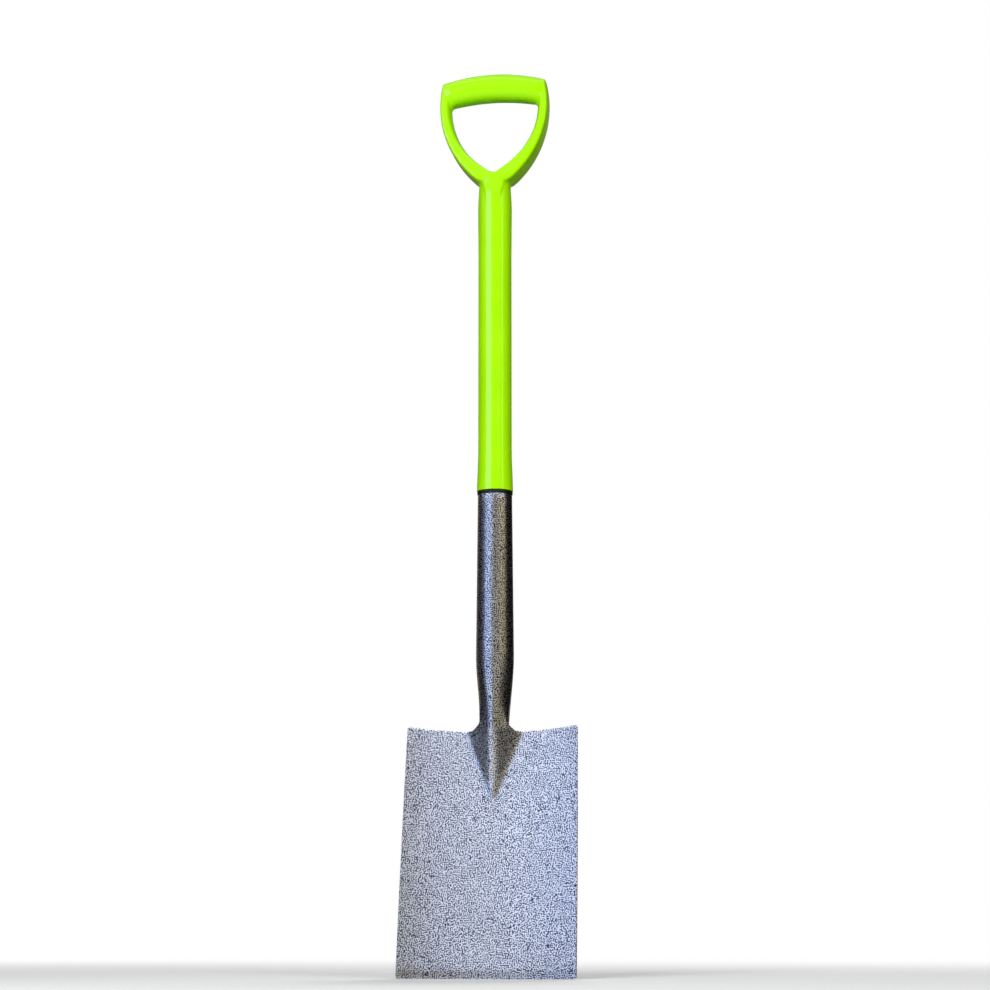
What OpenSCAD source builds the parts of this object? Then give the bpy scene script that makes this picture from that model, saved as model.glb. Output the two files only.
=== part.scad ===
// Garden digging spade: a pressed and dished blade on a tube socket, with a sleeved steel
// shaft and a moulded D-grip.
// Millimetres. +Z runs up the shaft, -Y is the front of the blade, and the origin is the
// middle of the cutting edge.

/* [Blade] */
// Width of the blade sheet, measured along its curve
blade_w = 193; // [160:1:220]
// Length of the blade from the cutting edge to the middle of its top edge
blade_l = 271; // [230:1:320]
// Thickness of the blade sheet
blade_t = 2.4; // [1.8:0.1:3.2]
// Lean of the blade from the line of the shaft, in degrees
blade_lift = 13.5; // [8:0.5:16]
// Depth of the dish at the top edge
dish_top = 20; // [10:0.5:26]
// Depth of the dish at the cutting edge
dish_tip = 3.5; // [2:0.5:10]
// Rise of the top edge from its middle to its corners
shoulder_rise = 2; // [0:0.5:8]
// Radius of the four corners of the blade
corner_r = 3; // [1:0.5:8]
// Thickness left at the cutting edge
edge_t = 1.2; // [0.8:0.1:1.6]
// Length over which the sheet is ground down to the cutting edge
edge_l = 9; // [4:0.5:16]

/* [Frog pressing] */
// Width of the V-shaped frog at the top edge
frog_w = 54; // [46:1:64]
// Length of the frog down the blade
frog_l = 72; // [60:1:90]
// Height of the frog's ridge above the blade at the top edge
frog_h = 21; // [18:0.5:25]
// Radius that softens the frog's ridge
frog_ridge_r = 4; // [2:0.5:7]
// Softness of the fillet along the foot of the frog, as a share of its height
frog_foot = 0.1; // [0.04:0.01:0.2]

/* [Socket] */
// Length of the socket above the top edge of the blade
socket_l = 265; // [220:1:320]
// Outside diameter of the socket at its mouth
socket_mouth_d = 38.2; // [37.5:0.1:42]
// Outside diameter of the socket where its pressed end starts
socket_low_d = 41.8; // [40:0.1:46]
// Wall of the socket below the shaft
socket_wall = 2; // [1.4:0.1:3]
// Length of the pressed end above the top edge of the blade
press_l = 88; // [70:1:110]
// Width of the pressed neck at the top edge of the blade
neck_w = 30.5; // [27:0.5:34]
// Reach of the neck in front of the shaft's centre line
neck_front = 19.5; // [17:0.5:21]
// Reach of the neck behind the shaft's centre line
neck_back = 23; // [20:0.5:27]
// Length of the pressed end that lies in the back of the frog
tongue_l = 54; // [44:1:58]
// Thickness of the tongue at its lower end
tongue_end_t = 4; // [3:0.5:6]
// Width of the tongue at its lower end
tongue_end_w = 10; // [8:0.5:14]
// Roundness of the neck's front at the frog, from 1 for a sharp V to 2 for a round
neck_round = 1.35; // [1.2:0.05:1.6]

/* [Shaft tube] */
// Outside diameter of the steel shaft tube
shaft_d = 34; // [30:0.1:34.4]
// Wall of the shaft tube
shaft_wall = 1.5; // [1:0.1:2.5]
// Length of the shaft tube inside the socket
shaft_in_socket = 110; // [80:1:130]
// Length of the shaft tube inside the grip
shaft_in_grip = 66; // [50:1:70]

/* [Collar ring] */
// Outside diameter of the collar ring
ring_d = 39.8; // [38.6:0.1:40.6]
// Height of the ring that shows between sleeve and socket
ring_h = 4; // [2:0.5:8]
// Length of the ring's spigot inside the sleeve
ring_spigot_l = 12; // [6:0.5:20]
// Wall of the ring's spigot
ring_spigot_wall = 1.4; // [1:0.1:1.6]

/* [Sleeve] */
// Outside diameter of the sleeve along its straight part
sleeve_d = 37.5; // [36.8:0.1:40]
// Outside diameter of the sleeve's flared rim
sleeve_rim_d = 40.8; // [40.6:0.1:44]
// Length of the flare
sleeve_flare_l = 52; // [30:1:80]
// Length of the sleeve from rim to grip
sleeve_l = 272; // [220:1:340]

/* [Grip] */
// Length of the grip's neck from the sleeve to the fork
grip_neck_l = 86; // [76:1:110]
// Diameter of the neck where the fork starts
grip_neck_d = 38.8; // [38:0.1:42]
// Height of the opening's lowest point above the start of the fork
fork_rise = 10.5; // [8:0.5:16]
// Height of the hand opening from its lowest point to the bar
opening_h = 87.5; // [78:0.5:100]
// Greatest width of the hand opening
opening_w = 100; // [88:1:104]
// Radius of the opening's upper corners
opening_corner_r = 6; // [4:0.5:10]
// Radius at the bottom of the opening
opening_foot_r = 7; // [5:0.5:12]
// Radius of the slight arch along the underside of the bar
opening_arch_r = 240; // [180:5:400]
// Height of the bar at its middle
bar_h = 31.6; // [26:0.2:38]
// Depth of the bar from front to back
bar_depth = 30; // [26:0.5:36]
// Radius of the arch along the top of the bar
bar_arch_r = 195; // [150:5:300]
// Greatest width of the grip
grip_w = 125; // [122:1:140]
// Radius of the grip's upper corners
grip_corner_r = 5; // [3:0.5:9]
// Depth of the fork arms from front to back, at their upper ends
arm_depth = 27; // [22:0.5:32]
// Depth of the fork arms where they run into the neck
fork_depth = 35; // [30:0.5:36]
// Length over which the round neck turns into the fork
root_l = 14; // [8:0.5:18]

/* [Fasteners] */
// Diameter of the grip screw's shank
screw_d = 4; // [3:0.1:5]
// Diameter of the grip screw's head
screw_head_d = 8; // [6.5:0.1:9]
// Height of the grip screw's head
screw_head_h = 2.2; // [1.6:0.1:3]
// Wall left under the grip screw's head
screw_floor = 0.9; // [0.6:0.1:1.2]
// Length of the grip screw
screw_l = 14; // [10:0.5:20]
// Height of the grip screw above the lower end of the grip
screw_up = 40; // [25:1:50]
// Diameter of the socket rivets
rivet_d = 4.8; // [4:0.1:6.4]
// Diameter of the rivet heads
rivet_head_d = 9.5; // [8:0.1:12]
// Height of the rivet heads
rivet_head_h = 1.8; // [1.2:0.1:3]
// Distance of the upper rivet below the mouth of the socket
rivet_down = 28; // [18:1:40]
// Distance between the two rivets
rivet_pitch = 45; // [30:1:60]
// Height of the clenched end of the rivets
rivet_tail_h = 3; // [2:0.5:5]
// Leg of the weld beads along the tongue
weld_leg = 5; // [3:0.5:7]
// Leg of the weld beads at the top edge of the blade, where they flare out
weld_flare = 9; // [6:0.5:11]
// Length below the top edge over which the weld beads flare out
weld_flare_l = 16; // [8:1:24]
// Rise of the weld beads above the top edge of the blade
weld_rise = 9; // [4:0.5:12]

/* [Fits] */
// Gap all round between the shaft tube and what slides over it
slide_gap = 0.15; // [0.1:0.05:0.3]
// Gap between the socket's tongue and the back of the frog
seat_gap = 0.4; // [0.3:0.05:0.8]

/* [Hidden] */

$fn = 96;

// Heights along the shaft
edge_z = blade_l * cos(blade_lift);
socket_top_z = edge_z + socket_l;
press_top_z = edge_z + press_l;
shaft_bottom_z = socket_top_z - shaft_in_socket;
rim_z = socket_top_z + ring_h;
sleeve_top_z = rim_z + sleeve_l;
shaft_top_z = sleeve_top_z + shaft_in_grip;
fork_z = sleeve_top_z + grip_neck_l;
screw_z = sleeve_top_z + screw_up;

// Line of the shaft: the front of the neck lies in the back of the frog's ridge
nose_n = frog_h - blade_t / 2 - seat_gap;
shaft_y = blade_l * sin(blade_lift) - nose_n * cos(blade_lift) + neck_front;

bore_r = shaft_d / 2 + slide_gap;

// How far a cut runs past the face that it opens
cut_over = 1;

// Small helpers
function mix(a, b, k) = a + (b - a) * k;
function limit(k) = max(0, min(1, k));
function ease(k) = let (c = limit(k)) c * c * (3 - 2 * c);
function flat(lists) = [for (l = lists) for (item = l) item];

// Outline of a low dome from its rim to its middle, for a head of radius r and height h
dome_steps = 5;
function dome(r, h, seat) =
    [for (i = [0 : dome_steps])
        let (angle = 90 * i / dome_steps)
        [r * cos(angle), seat + h * sin(angle)]];

// Closed skin over rings of equal length, from the first ring to the last
function ring_faces(rings, count, first = 0) =
    [for (j = [0 : rings - 2]) for (i = [0 : count - 1])
        let (a = first + j * count + i, b = first + j * count + (i + 1) % count)
        each [[a, a + count, b], [b, a + count, b + count]]];

// Fan over the first or the last ring, from a point at its middle
function cap_faces(centre, start, count, top) =
    [for (i = [0 : count - 1])
        let (a = start + i, b = start + (i + 1) % count)
        top ? [centre, b, a] : [centre, a, b]];

// Blade surface: x across, n forward from the blade's own plane, t up from the cutting edge
half_w = blade_w / 2;

function dish_r(t) =
    let (depth = mix(dish_tip, dish_top, limit(t / blade_l)))
    half_w * half_w / (2 * depth);

function dish_n(x, t) = let (r = dish_r(t)) r - sqrt(r * r - x * x);

function frog_n(x, t) =
    let (along = (t - blade_l + frog_l) / frog_l,
         across = (sqrt(x * x + frog_ridge_r * frog_ridge_r) - frog_ridge_r) / (frog_w / 2),
         q = along - across)
    frog_h * (q + sqrt(q * q + frog_foot * frog_foot)) / 2;

function sheet_n(x, t) = dish_n(x, t) + frog_n(x, t);

function on_blade(x, n, t) =
    [x, t * sin(blade_lift) - n * cos(blade_lift), t * cos(blade_lift) + n * sin(blade_lift)];

// How far a rounded corner draws the end of the sheet back at distance s from the middle
function corner_cut(s) =
    let (over = max(0, abs(s) - half_w + corner_r))
    corner_r - sqrt(max(0, corner_r * corner_r - over * over));

function sheet_t(t) = mix(edge_t, blade_t, limit(t / edge_l));

// One point of the sheet: s along its width, v from cutting edge to top edge, side 1 or -1
function sheet_point(s, v, side) =
    let (r0 = dish_r(0),
         x0 = r0 * sin(s / r0 * 180 / PI),
         n0 = sheet_n(x0, 0) + side * edge_t / 2,
         low = -n0 * tan(blade_lift) + corner_cut(s),
         high = blade_l + shoulder_rise * abs(s) / half_w - corner_cut(s),
         t = mix(low, high, v),
         up = max(0, t),
         r = dish_r(up),
         x = r * sin(s / r * 180 / PI))
    on_blade(x, sheet_n(x, up) + side * sheet_t(up) / 2, t);

// The sheet is a grid, finer over the frog and a margin round it
frog_margin = 8;
frog_columns = 10;
plain_columns = 4;
corner_columns = 4;
frog_reach = frog_w / 2 + frog_margin;

sheet_half = concat(
    [for (i = [1 : frog_columns]) frog_reach * i / frog_columns],
    [for (i = [1 : plain_columns]) mix(frog_reach, half_w - corner_r, i / plain_columns)],
    [for (i = [1 : corner_columns]) half_w - corner_r + corner_r * sin(90 * i / corner_columns)]);
sheet_s = concat([for (i = [len(sheet_half) - 1 : -1 : 0]) -sheet_half[i]], [0], sheet_half);

low_rows = 7;
frog_rows = 16;
edge_v = edge_l / blade_l;
frog_v = 1 - (frog_l + frog_margin) / blade_l;
sheet_v = concat(
    [0, edge_v / 2],
    [for (j = [0 : low_rows]) mix(edge_v, frog_v, j / low_rows)],
    [for (j = [1 : frog_rows]) mix(frog_v, 1, j / frog_rows)]);

module blade() {
    columns = len(sheet_s);
    count = 2 * columns;
    rings = [for (v = sheet_v)
        concat([for (s = sheet_s) sheet_point(s, v, 1)],
               [for (i = [columns - 1 : -1 : 0]) sheet_point(sheet_s[i], v, -1)])];
    last = (len(rings) - 1) * count;
    ends = [for (i = [0 : columns - 2])
        let (a = i, b = i + 1, c = count - 2 - i, d = count - 1 - i)
        each [[a, b, c], [a, c, d], [last + a, last + c, last + b], [last + a, last + d, last + c]]];
    color([0.62, 0.64, 0.72])
    polyhedron(points = flat(rings), faces = concat(ring_faces(len(rings), count), ends));
}

// Outside radius of the socket at height z, above its pressed end
function socket_r(z) =
    mix(socket_low_d, socket_mouth_d, (z - press_top_z) / (socket_top_z - press_top_z)) / 2;

// Back face of the blade at x and height z, as a place along Y
function blade_back_y(x, z) =
    let (t0 = z / cos(blade_lift),
         n0 = sheet_n(x, t0) - blade_t / 2,
         t1 = (z - n0 * sin(blade_lift)) / cos(blade_lift),
         n1 = sheet_n(x, t1) - blade_t / 2,
         t2 = (z - n1 * sin(blade_lift)) / cos(blade_lift),
         n2 = sheet_n(x, t2) - blade_t / 2)
    t2 * sin(blade_lift) - n2 * cos(blade_lift);

// Height at which the frog's ridge meets the top edge, and the lower end of the tongue
ridge_z = edge_z + frog_h * sin(blade_lift);
tongue_z = edge_z - tongue_l * cos(blade_lift);

// Half width of the pressed end, and its reach in front of and behind the shaft line
function press_half(z) =
    z > edge_z
    ? mix(neck_w / 2, socket_r(z), ease((z - edge_z) / press_l))
    : mix(tongue_end_w / 2, neck_w / 2, limit((z - tongue_z) / (edge_z - tongue_z)));

function tongue_share(z) = ease((z - tongue_z) / (edge_z - tongue_z));

tongue_front_y = blade_back_y(0, tongue_z) + seat_gap;

function press_mid_y(z) = mix(tongue_front_y + tongue_end_t / 2, shaft_y, tongue_share(z));

function press_front_y(z) = shaft_y - mix(neck_front, socket_r(z), ease((z - edge_z) / press_l));

function press_back_y(z) =
    z > edge_z
    ? shaft_y + mix(neck_back, socket_r(z), ease((z - edge_z) / press_l))
    : mix(tongue_front_y + tongue_end_t, shaft_y + neck_back, tongue_share(z));

// The front of the pressed end turns from round to a blunt V towards the frog
function press_power(z) = mix(neck_round, 2, ease((z - edge_z) / press_l));

function signed_power(a, p) = sign(a) * pow(abs(a), p);

// One point round the pressed end, inset by the wall for the inside
function press_point(angle, z, inset) =
    let (front = sin(angle) < 0,
         p = front ? 2 / press_power(z) : 1,
         mid = press_mid_y(z),
         x = (press_half(z) - inset) * signed_power(cos(angle), p),
         reach = front ? mid - press_front_y(z) - inset : press_back_y(z) - mid - inset,
         y = mid + reach * signed_power(sin(angle), p),
         seat = blade_back_y(x, z) + seat_gap + inset,
         seated = z < ridge_z ? max(y, seat) : y)
    [x, seated, z];

press_sides = 40;
press_rows_up = 12;
press_rows_down = 10;

// The pressed end laps a little way into the round tube, a hair inside its surface
joint_lap = 3;
lap_gap = 0.02;

// The hollow of the tube stops part of the way down the tongue
hollow_share = 0.45;
hollow_end_z = mix(tongue_z, edge_z, hollow_share);

function press_heights(low) = concat(
    [for (j = [0 : press_rows_down]) mix(low, edge_z, j / press_rows_down)],
    [for (j = [1 : press_rows_up]) mix(edge_z, press_top_z, j / press_rows_up)],
    [press_top_z + joint_lap]);

module press_loft(heights, inset) {
    rings = [for (z = heights)
        [for (i = [0 : press_sides - 1]) press_point(360 * i / press_sides, z, inset)]];
    count = len(rings) * press_sides;
    low_end = [0, (rings[0][0][1] + rings[0][press_sides / 2][1]) / 2, heights[0]];
    high_end = [0, shaft_y, heights[len(heights) - 1]];
    polyhedron(
        points = concat(flat(rings), [low_end, high_end]),
        faces = concat(
            ring_faces(len(rings), press_sides),
            cap_faces(count, 0, press_sides, false),
            cap_faces(count + 1, count - press_sides, press_sides, true)));
}

// Holes for the rivets, through the back wall only
rivet_depths = [rivet_down, rivet_down + rivet_pitch];

module rivet_holes() {
    for (down = rivet_depths)
        translate([0, shaft_y, socket_top_z - down])
        rotate([-90, 0, 0])
        cylinder(d = rivet_d + 2 * slide_gap, h = socket_low_d);
}

module socket() {
    color([0.3, 0.3, 0.33])
    difference() {
        union() {
            press_loft(press_heights(tongue_z), lap_gap);
            translate([0, shaft_y, press_top_z])
                cylinder(d1 = socket_low_d, d2 = socket_mouth_d, h = socket_top_z - press_top_z);
        }
        press_loft(press_heights(hollow_end_z), socket_wall);
        translate([0, shaft_y, press_top_z])
            cylinder(r = bore_r, h = socket_top_z - press_top_z + cut_over);
        rivet_holes();
    }
}

// Beads down both sides of the tongue, from just above the top edge of the blade
weld_end_share = 0.12;
weld_end_z = mix(tongue_z, edge_z, weld_end_share);
weld_rows = 12;
weld_rise_rows = 5;
weld_bulge = 0.6;
weld_tip = 0.05;
weld_hollow = 1.6;

// Leg of a bead at height z: it flares towards the top edge and runs out in a hollow curve
function weld_leg_at(z) =
    z < edge_z
    ? mix(weld_leg, weld_flare, ease((z - edge_z + weld_flare_l) / weld_flare_l))
    : weld_flare * max(weld_tip, pow(1 - limit((z - edge_z) / weld_rise), weld_hollow));

function weld_ring(z, leg) =
    let (x0 = press_half(z) + slide_gap, x1 = x0 + leg / 2, x2 = x0 + leg)
    [[x0, blade_back_y(x0, z) + seat_gap, z],
     [x1, blade_back_y(x1, z) + seat_gap, z],
     [x2, blade_back_y(x2, z) + seat_gap, z],
     [x0 + weld_bulge * leg, blade_back_y(x1, z) + seat_gap + weld_bulge * leg, z],
     [x0, blade_back_y(x0, z) + seat_gap + leg, z]];

module weld_bead() {
    heights = concat(
        [for (j = [0 : weld_rows]) mix(weld_end_z, edge_z, j / weld_rows)],
        [for (j = [1 : weld_rise_rows]) edge_z + weld_rise * j / weld_rise_rows]);
    rings = [for (z = heights) weld_ring(z, weld_leg_at(z))];
    count = len(rings[0]);
    last = (len(rings) - 1) * count;
    polyhedron(
        points = flat(rings),
        faces = concat(
            ring_faces(len(rings), count),
            [[for (i = [0 : count - 1]) i]],
            [[for (i = [count - 1 : -1 : 0]) last + i]]));
}

module frog_weld() {
    color([0.25, 0.25, 0.27]) {
        weld_bead();
        mirror([1, 0, 0]) weld_bead();
    }
}

// Blind rivets: a low dome outside, a shank, and the clenched end inside the tube
rivet_tail_lip = 1;
rivet_tail_d = rivet_d + 2 * rivet_tail_lip;
rivet_tail_r = sqrt(pow(shaft_d / 2 - shaft_wall, 2) - pow(rivet_tail_d / 2, 2)) - slide_gap;

function rivet_outline(seat) = [
    [0, rivet_tail_r - rivet_tail_h],
    [rivet_tail_d / 2, rivet_tail_r - rivet_tail_h],
    [rivet_tail_d / 2, rivet_tail_r],
    [rivet_d / 2, rivet_tail_r],
    [rivet_d / 2, seat],
    each dome(rivet_head_d / 2, rivet_head_h, seat)];

module socket_rivets() {
    color([0.3, 0.3, 0.32])
    for (down = rivet_depths)
        translate([0, shaft_y, socket_top_z - down])
        rotate([-90, 0, 0])
        rotate_extrude()
        polygon(rivet_outline(socket_r(socket_top_z - down) + slide_gap));
}

module shaft_tube() {
    color([0.55, 0.56, 0.58])
    difference() {
        translate([0, shaft_y, shaft_bottom_z])
            cylinder(d = shaft_d, h = shaft_top_z - shaft_bottom_z);
        translate([0, shaft_y, shaft_bottom_z - cut_over])
            cylinder(d = shaft_d - 2 * shaft_wall, h = shaft_top_z - shaft_bottom_z + 2 * cut_over);
        rivet_holes();
        translate([0, shaft_y, screw_z])
            rotate([-90, 0, 0])
            cylinder(d = screw_d + 2 * slide_gap, h = sleeve_d);
    }
}

spigot_r = bore_r + ring_spigot_wall;
ring_chamfer = 0.5;

module collar_ring() {
    color([0.1, 0.1, 0.1])
    translate([0, shaft_y, 0])
    rotate_extrude()
    polygon([
        [bore_r, socket_top_z],
        [ring_d / 2 - ring_chamfer, socket_top_z],
        [ring_d / 2, socket_top_z + ring_chamfer],
        [ring_d / 2, rim_z],
        [spigot_r, rim_z],
        [spigot_r, rim_z + ring_spigot_l],
        [bore_r, rim_z + ring_spigot_l]]);
}

// Outside of the flare, a soft curve from just above the rim to the straight part
rim_edge = 0.6;
flare_start = 0.15;
flare_steps = 8;

function flare_point(k) =
    [mix(sleeve_rim_d, sleeve_d, ease(mix(flare_start, 1, k))) / 2,
     rim_z + mix(rim_edge, sleeve_flare_l, k)];

module shaft_sleeve() {
    color([0.69, 0.98, 0.05])
    translate([0, shaft_y, 0])
    rotate_extrude()
    polygon(concat(
        [[spigot_r + slide_gap, rim_z], [sleeve_rim_d / 2 - rim_edge, rim_z]],
        [for (j = [0 : flare_steps]) flare_point(j / flare_steps)],
        [[sleeve_d / 2, sleeve_top_z],
         [bore_r, sleeve_top_z],
         [bore_r, rim_z + ring_spigot_l + slide_gap],
         [spigot_r + slide_gap, rim_z + ring_spigot_l + slide_gap]]));
}

// Outline of the D-grip, as pairs of points on the opening and on the outside.
// Every stretch is an arc, and each corner is the circle that touches two arcs.
opening_low_z = fork_z + fork_rise;
bar_low_z = opening_low_z + opening_h;
bar_top_z = bar_low_z + bar_h;
side_z = bar_low_z - opening_corner_r;
neck_r = grip_neck_d / 2;

// Radius of the opening's side: upright at its widest, and touching the circle at its foot
foot_c = [0, opening_low_z + opening_foot_r];
foot_drop = side_z - foot_c[1];
opening_side_r = (pow(opening_w / 2, 2) + foot_drop * foot_drop - opening_foot_r * opening_foot_r)
    / (opening_w - 2 * opening_foot_r);

// Radius of the outer side: upright at its widest, and meeting the neck at the fork
fork_in = grip_w / 2 - neck_r;
fork_drop = side_z - fork_z;
grip_side_r = (fork_in * fork_in + fork_drop * fork_drop) / (2 * fork_in);

// Centre of a circle that lies ra from a and rb from b, on the side of larger X and Z
function meet(a, ra, b, rb) =
    let (d = norm(b - a),
         along = (ra * ra - rb * rb + d * d) / (2 * d),
         off = sqrt(ra * ra - along * along),
         u = (b - a) / d)
    a + along * u + off * [-u[1], u[0]];

function angle_of(p) = atan2(p[1], p[0]);
function on_arc(c, r, angle) = c + r * [cos(angle), sin(angle)];
function arc(c, r, from, to, steps, first = 0) =
    [for (i = [first : steps]) on_arc(c, r, mix(from, to, i / steps))];

bar_steps = 8;
corner_steps = 6;
side_steps = 14;
foot_steps = 6;

top_c = [0, bar_top_z - bar_arch_r];
out_c = [grip_w / 2 - grip_side_r, side_z];
top_corner = meet(out_c, grip_side_r - grip_corner_r, top_c, bar_arch_r - grip_corner_r);
under_c = [0, bar_low_z - opening_arch_r];
in_c = [opening_w / 2 - opening_side_r, side_z];
under_corner = meet(in_c, opening_side_r - opening_corner_r, under_c, opening_arch_r - opening_corner_r);
fork_angle = -asin(fork_drop / grip_side_r);

outer_line = concat(
    arc(top_c, bar_arch_r, 90, angle_of(top_corner - top_c), bar_steps),
    arc(top_corner, grip_corner_r, angle_of(top_corner - top_c), angle_of(top_corner - out_c),
        corner_steps, 1),
    arc(out_c, grip_side_r, angle_of(top_corner - out_c), fork_angle, side_steps, 1),
    [for (i = [1 : foot_steps]) mix([neck_r, fork_z], [0, fork_z - root_l / 2], i / foot_steps)]);

inner_line = concat(
    arc(under_c, opening_arch_r, 90, angle_of(under_corner - under_c), bar_steps),
    arc(under_corner, opening_corner_r, angle_of(under_corner - under_c),
        angle_of(under_corner - in_c), corner_steps, 1),
    arc(in_c, opening_side_r, angle_of(under_corner - in_c), angle_of(foot_c - in_c),
        side_steps, 1),
    arc(foot_c, opening_foot_r, angle_of(foot_c - in_c), -90, foot_steps, 1));

grip_sides = 20;

// Cross-section of the D between an inner and an outer point, a rounded oblong
function grip_ring(a, b, depth, p) =
    [for (i = [0 : grip_sides - 1])
        let (angle = 360 * i / grip_sides,
             k = (1 + signed_power(cos(angle), p)) / 2,
             q = mix(a, b, k))
        [q[0], shaft_y + depth / 2 * signed_power(sin(angle), p), q[1]]];

// Share of the way from the bar to the fork arm, and from there down to the neck
arm_bar_steps = 3;
arm_start = bar_steps - arm_bar_steps;
arm_end = bar_steps + corner_steps;
function arm_share(i) = ease((i - arm_start) / (arm_end - arm_start));
function fork_share(i) = ease((i - arm_end) / side_steps);
function ring_depth(i) = mix(mix(bar_depth, arm_depth, arm_share(i)), fork_depth, fork_share(i));

// Squareness of the sections: 1 is an ellipse, and less is nearer an oblong
bar_power = 0.8;
arm_power = 0.5;

half_ring = [for (i = [0 : len(outer_line) - 1])
    grip_ring(inner_line[i], outer_line[i], ring_depth(i), mix(bar_power, arm_power, arm_share(i)))];

function mirrored(ring) = [for (p = ring) [-p[0], p[1], p[2]]];

module grip_loop() {
    steps = len(half_ring);
    rings = concat(
        half_ring,
        [for (i = [steps - 2 : -1 : 1]) mirrored(half_ring[i])]);
    count = len(rings);
    faces = [for (j = [0 : count - 1]) for (i = [0 : grip_sides - 1])
        let (k = (j + 1) % count, m = (i + 1) % grip_sides,
             a = j * grip_sides + i, b = j * grip_sides + m,
             c = k * grip_sides + i, d = k * grip_sides + m)
        each [[a, b, c], [b, d, c]]];
    polyhedron(points = flat(rings), faces = faces);
}

// Neck and root of the fork: round up to the root, and a little inside the arms above
root_low_z = fork_z - root_l;
root_cover = 3;
root_high_z = opening_low_z - root_cover;
root_narrowing = 0.4;
root_inset = 1.5;
root_rows = 8;
root_sides = 48;

function neck_r_at(z) =
    mix(sleeve_d / 2, neck_r, limit((z - sleeve_top_z) / (root_low_z - sleeve_top_z)));

function root_ring(z) =
    let (k = ease((z - root_low_z) / (root_high_z - root_low_z)),
         narrow = root_narrowing * ease((z - fork_z) / (root_high_z - fork_z)),
         half_x = neck_r_at(z) * (1 - narrow),
         half_y = mix(neck_r_at(z), fork_depth / 2 - root_inset, k),
         p = mix(1, bar_power, k))
    [for (i = [0 : root_sides - 1])
        let (angle = 360 * i / root_sides)
        [half_x * signed_power(cos(angle), p), shaft_y + half_y * signed_power(sin(angle), p), z]];

module grip_neck() {
    rings = concat(
        [root_ring(sleeve_top_z)],
        [for (j = [0 : root_rows]) root_ring(mix(root_low_z, root_high_z, j / root_rows))]);
    count = len(rings) * root_sides;
    polyhedron(
        points = concat(flat(rings), [[0, shaft_y, sleeve_top_z], [0, shaft_y, root_high_z]]),
        faces = concat(
            ring_faces(len(rings), root_sides),
            cap_faces(count, 0, root_sides, false),
            cap_faces(count + 1, count - root_sides, root_sides, true)));
}

screw_seat = bore_r + screw_floor;

module grip() {
    color([0.69, 0.98, 0.05])
    difference() {
        union() {
            grip_loop();
            grip_neck();
        }
        translate([0, shaft_y, sleeve_top_z - cut_over])
            cylinder(r = bore_r, h = shaft_in_grip + cut_over);
        translate([0, shaft_y, screw_z])
        rotate([-90, 0, 0]) {
            cylinder(d = screw_d + 2 * slide_gap, h = grip_neck_d);
            translate([0, 0, screw_seat])
                cylinder(d = screw_head_d + 2 * slide_gap, h = grip_neck_d);
        }
    }
}

// Self-tapping screw at the back of the grip, with a square recess in its head
screw_recess_w = 2.6;
screw_recess_h = 1.4;
screw_point_l = 3;
screw_point_d = 1.6;
screw_top = screw_seat + screw_head_h;
screw_tip = screw_top - screw_l;

module grip_screw() {
    color([0.6, 0.6, 0.62])
    translate([0, shaft_y, screw_z])
    rotate([-90, 0, 0])
    difference() {
        rotate_extrude()
        polygon([
            [0, screw_tip],
            [screw_point_d / 2, screw_tip],
            [screw_d / 2, screw_tip + screw_point_l],
            [screw_d / 2, screw_seat],
            each dome(screw_head_d / 2, screw_head_h, screw_seat)]);
        translate([-screw_recess_w / 2, -screw_recess_w / 2, screw_top - screw_recess_h])
            cube([screw_recess_w, screw_recess_w, screw_recess_h + cut_over]);
    }
}

blade();
socket();
frog_weld();
socket_rivets();
shaft_tube();
collar_ring();
shaft_sleeve();
grip();
grip_screw();
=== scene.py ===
# %% [markdown]
# # A garden digging spade
# The spade is a pressed steel blade on a tube socket, a black ring, a plastic sleeve over the
# steel shaft, and a moulded D-grip. The CAD model already fixes every size and place. This
# script loads it as a fixed frame and draws the pieces that show again, as finer meshes with
# rounded edges and real finishes. Lengths are in millimetres until a mesh is made.

import math

import bmesh
import bpy
import numpy as np
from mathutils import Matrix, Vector
from mathutils.bvhtree import BVHTree


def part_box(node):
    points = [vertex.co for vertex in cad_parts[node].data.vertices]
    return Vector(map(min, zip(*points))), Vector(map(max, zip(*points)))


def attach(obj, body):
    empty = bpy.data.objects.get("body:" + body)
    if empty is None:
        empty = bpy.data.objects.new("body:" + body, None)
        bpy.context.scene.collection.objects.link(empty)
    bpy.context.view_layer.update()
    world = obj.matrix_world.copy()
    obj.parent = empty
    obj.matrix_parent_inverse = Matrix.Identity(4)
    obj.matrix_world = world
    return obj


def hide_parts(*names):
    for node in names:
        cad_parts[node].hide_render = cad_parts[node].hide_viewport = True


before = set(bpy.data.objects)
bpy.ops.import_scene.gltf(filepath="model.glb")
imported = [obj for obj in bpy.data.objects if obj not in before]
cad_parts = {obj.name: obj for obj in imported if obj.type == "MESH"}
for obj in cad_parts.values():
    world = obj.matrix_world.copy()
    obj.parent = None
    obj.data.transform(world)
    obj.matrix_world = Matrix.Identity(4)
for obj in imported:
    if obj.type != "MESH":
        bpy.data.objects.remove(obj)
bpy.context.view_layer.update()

# %% [markdown]
# ## Measures taken from the frame
# Heights and widths that the CAD solids already have are read from their boxes, so the fine
# meshes land exactly where the solids are. Everything that sits on the shaft is centred on
# one upright line, which runs through the middle of the sleeve.

# %% Read the heights and diameters
MM = 0.001


def box_mm(node):
    """Lowest and highest corner of a CAD node, in millimetres."""
    low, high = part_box(node)
    return np.array(low) / MM, np.array(high) / MM


socket_top = box_mm("socket")[1][2]
ring_low, ring_high = box_mm("collar_ring")
sleeve_low, sleeve_high = box_mm("shaft_sleeve")
grip_low, grip_high = box_mm("grip")

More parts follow.
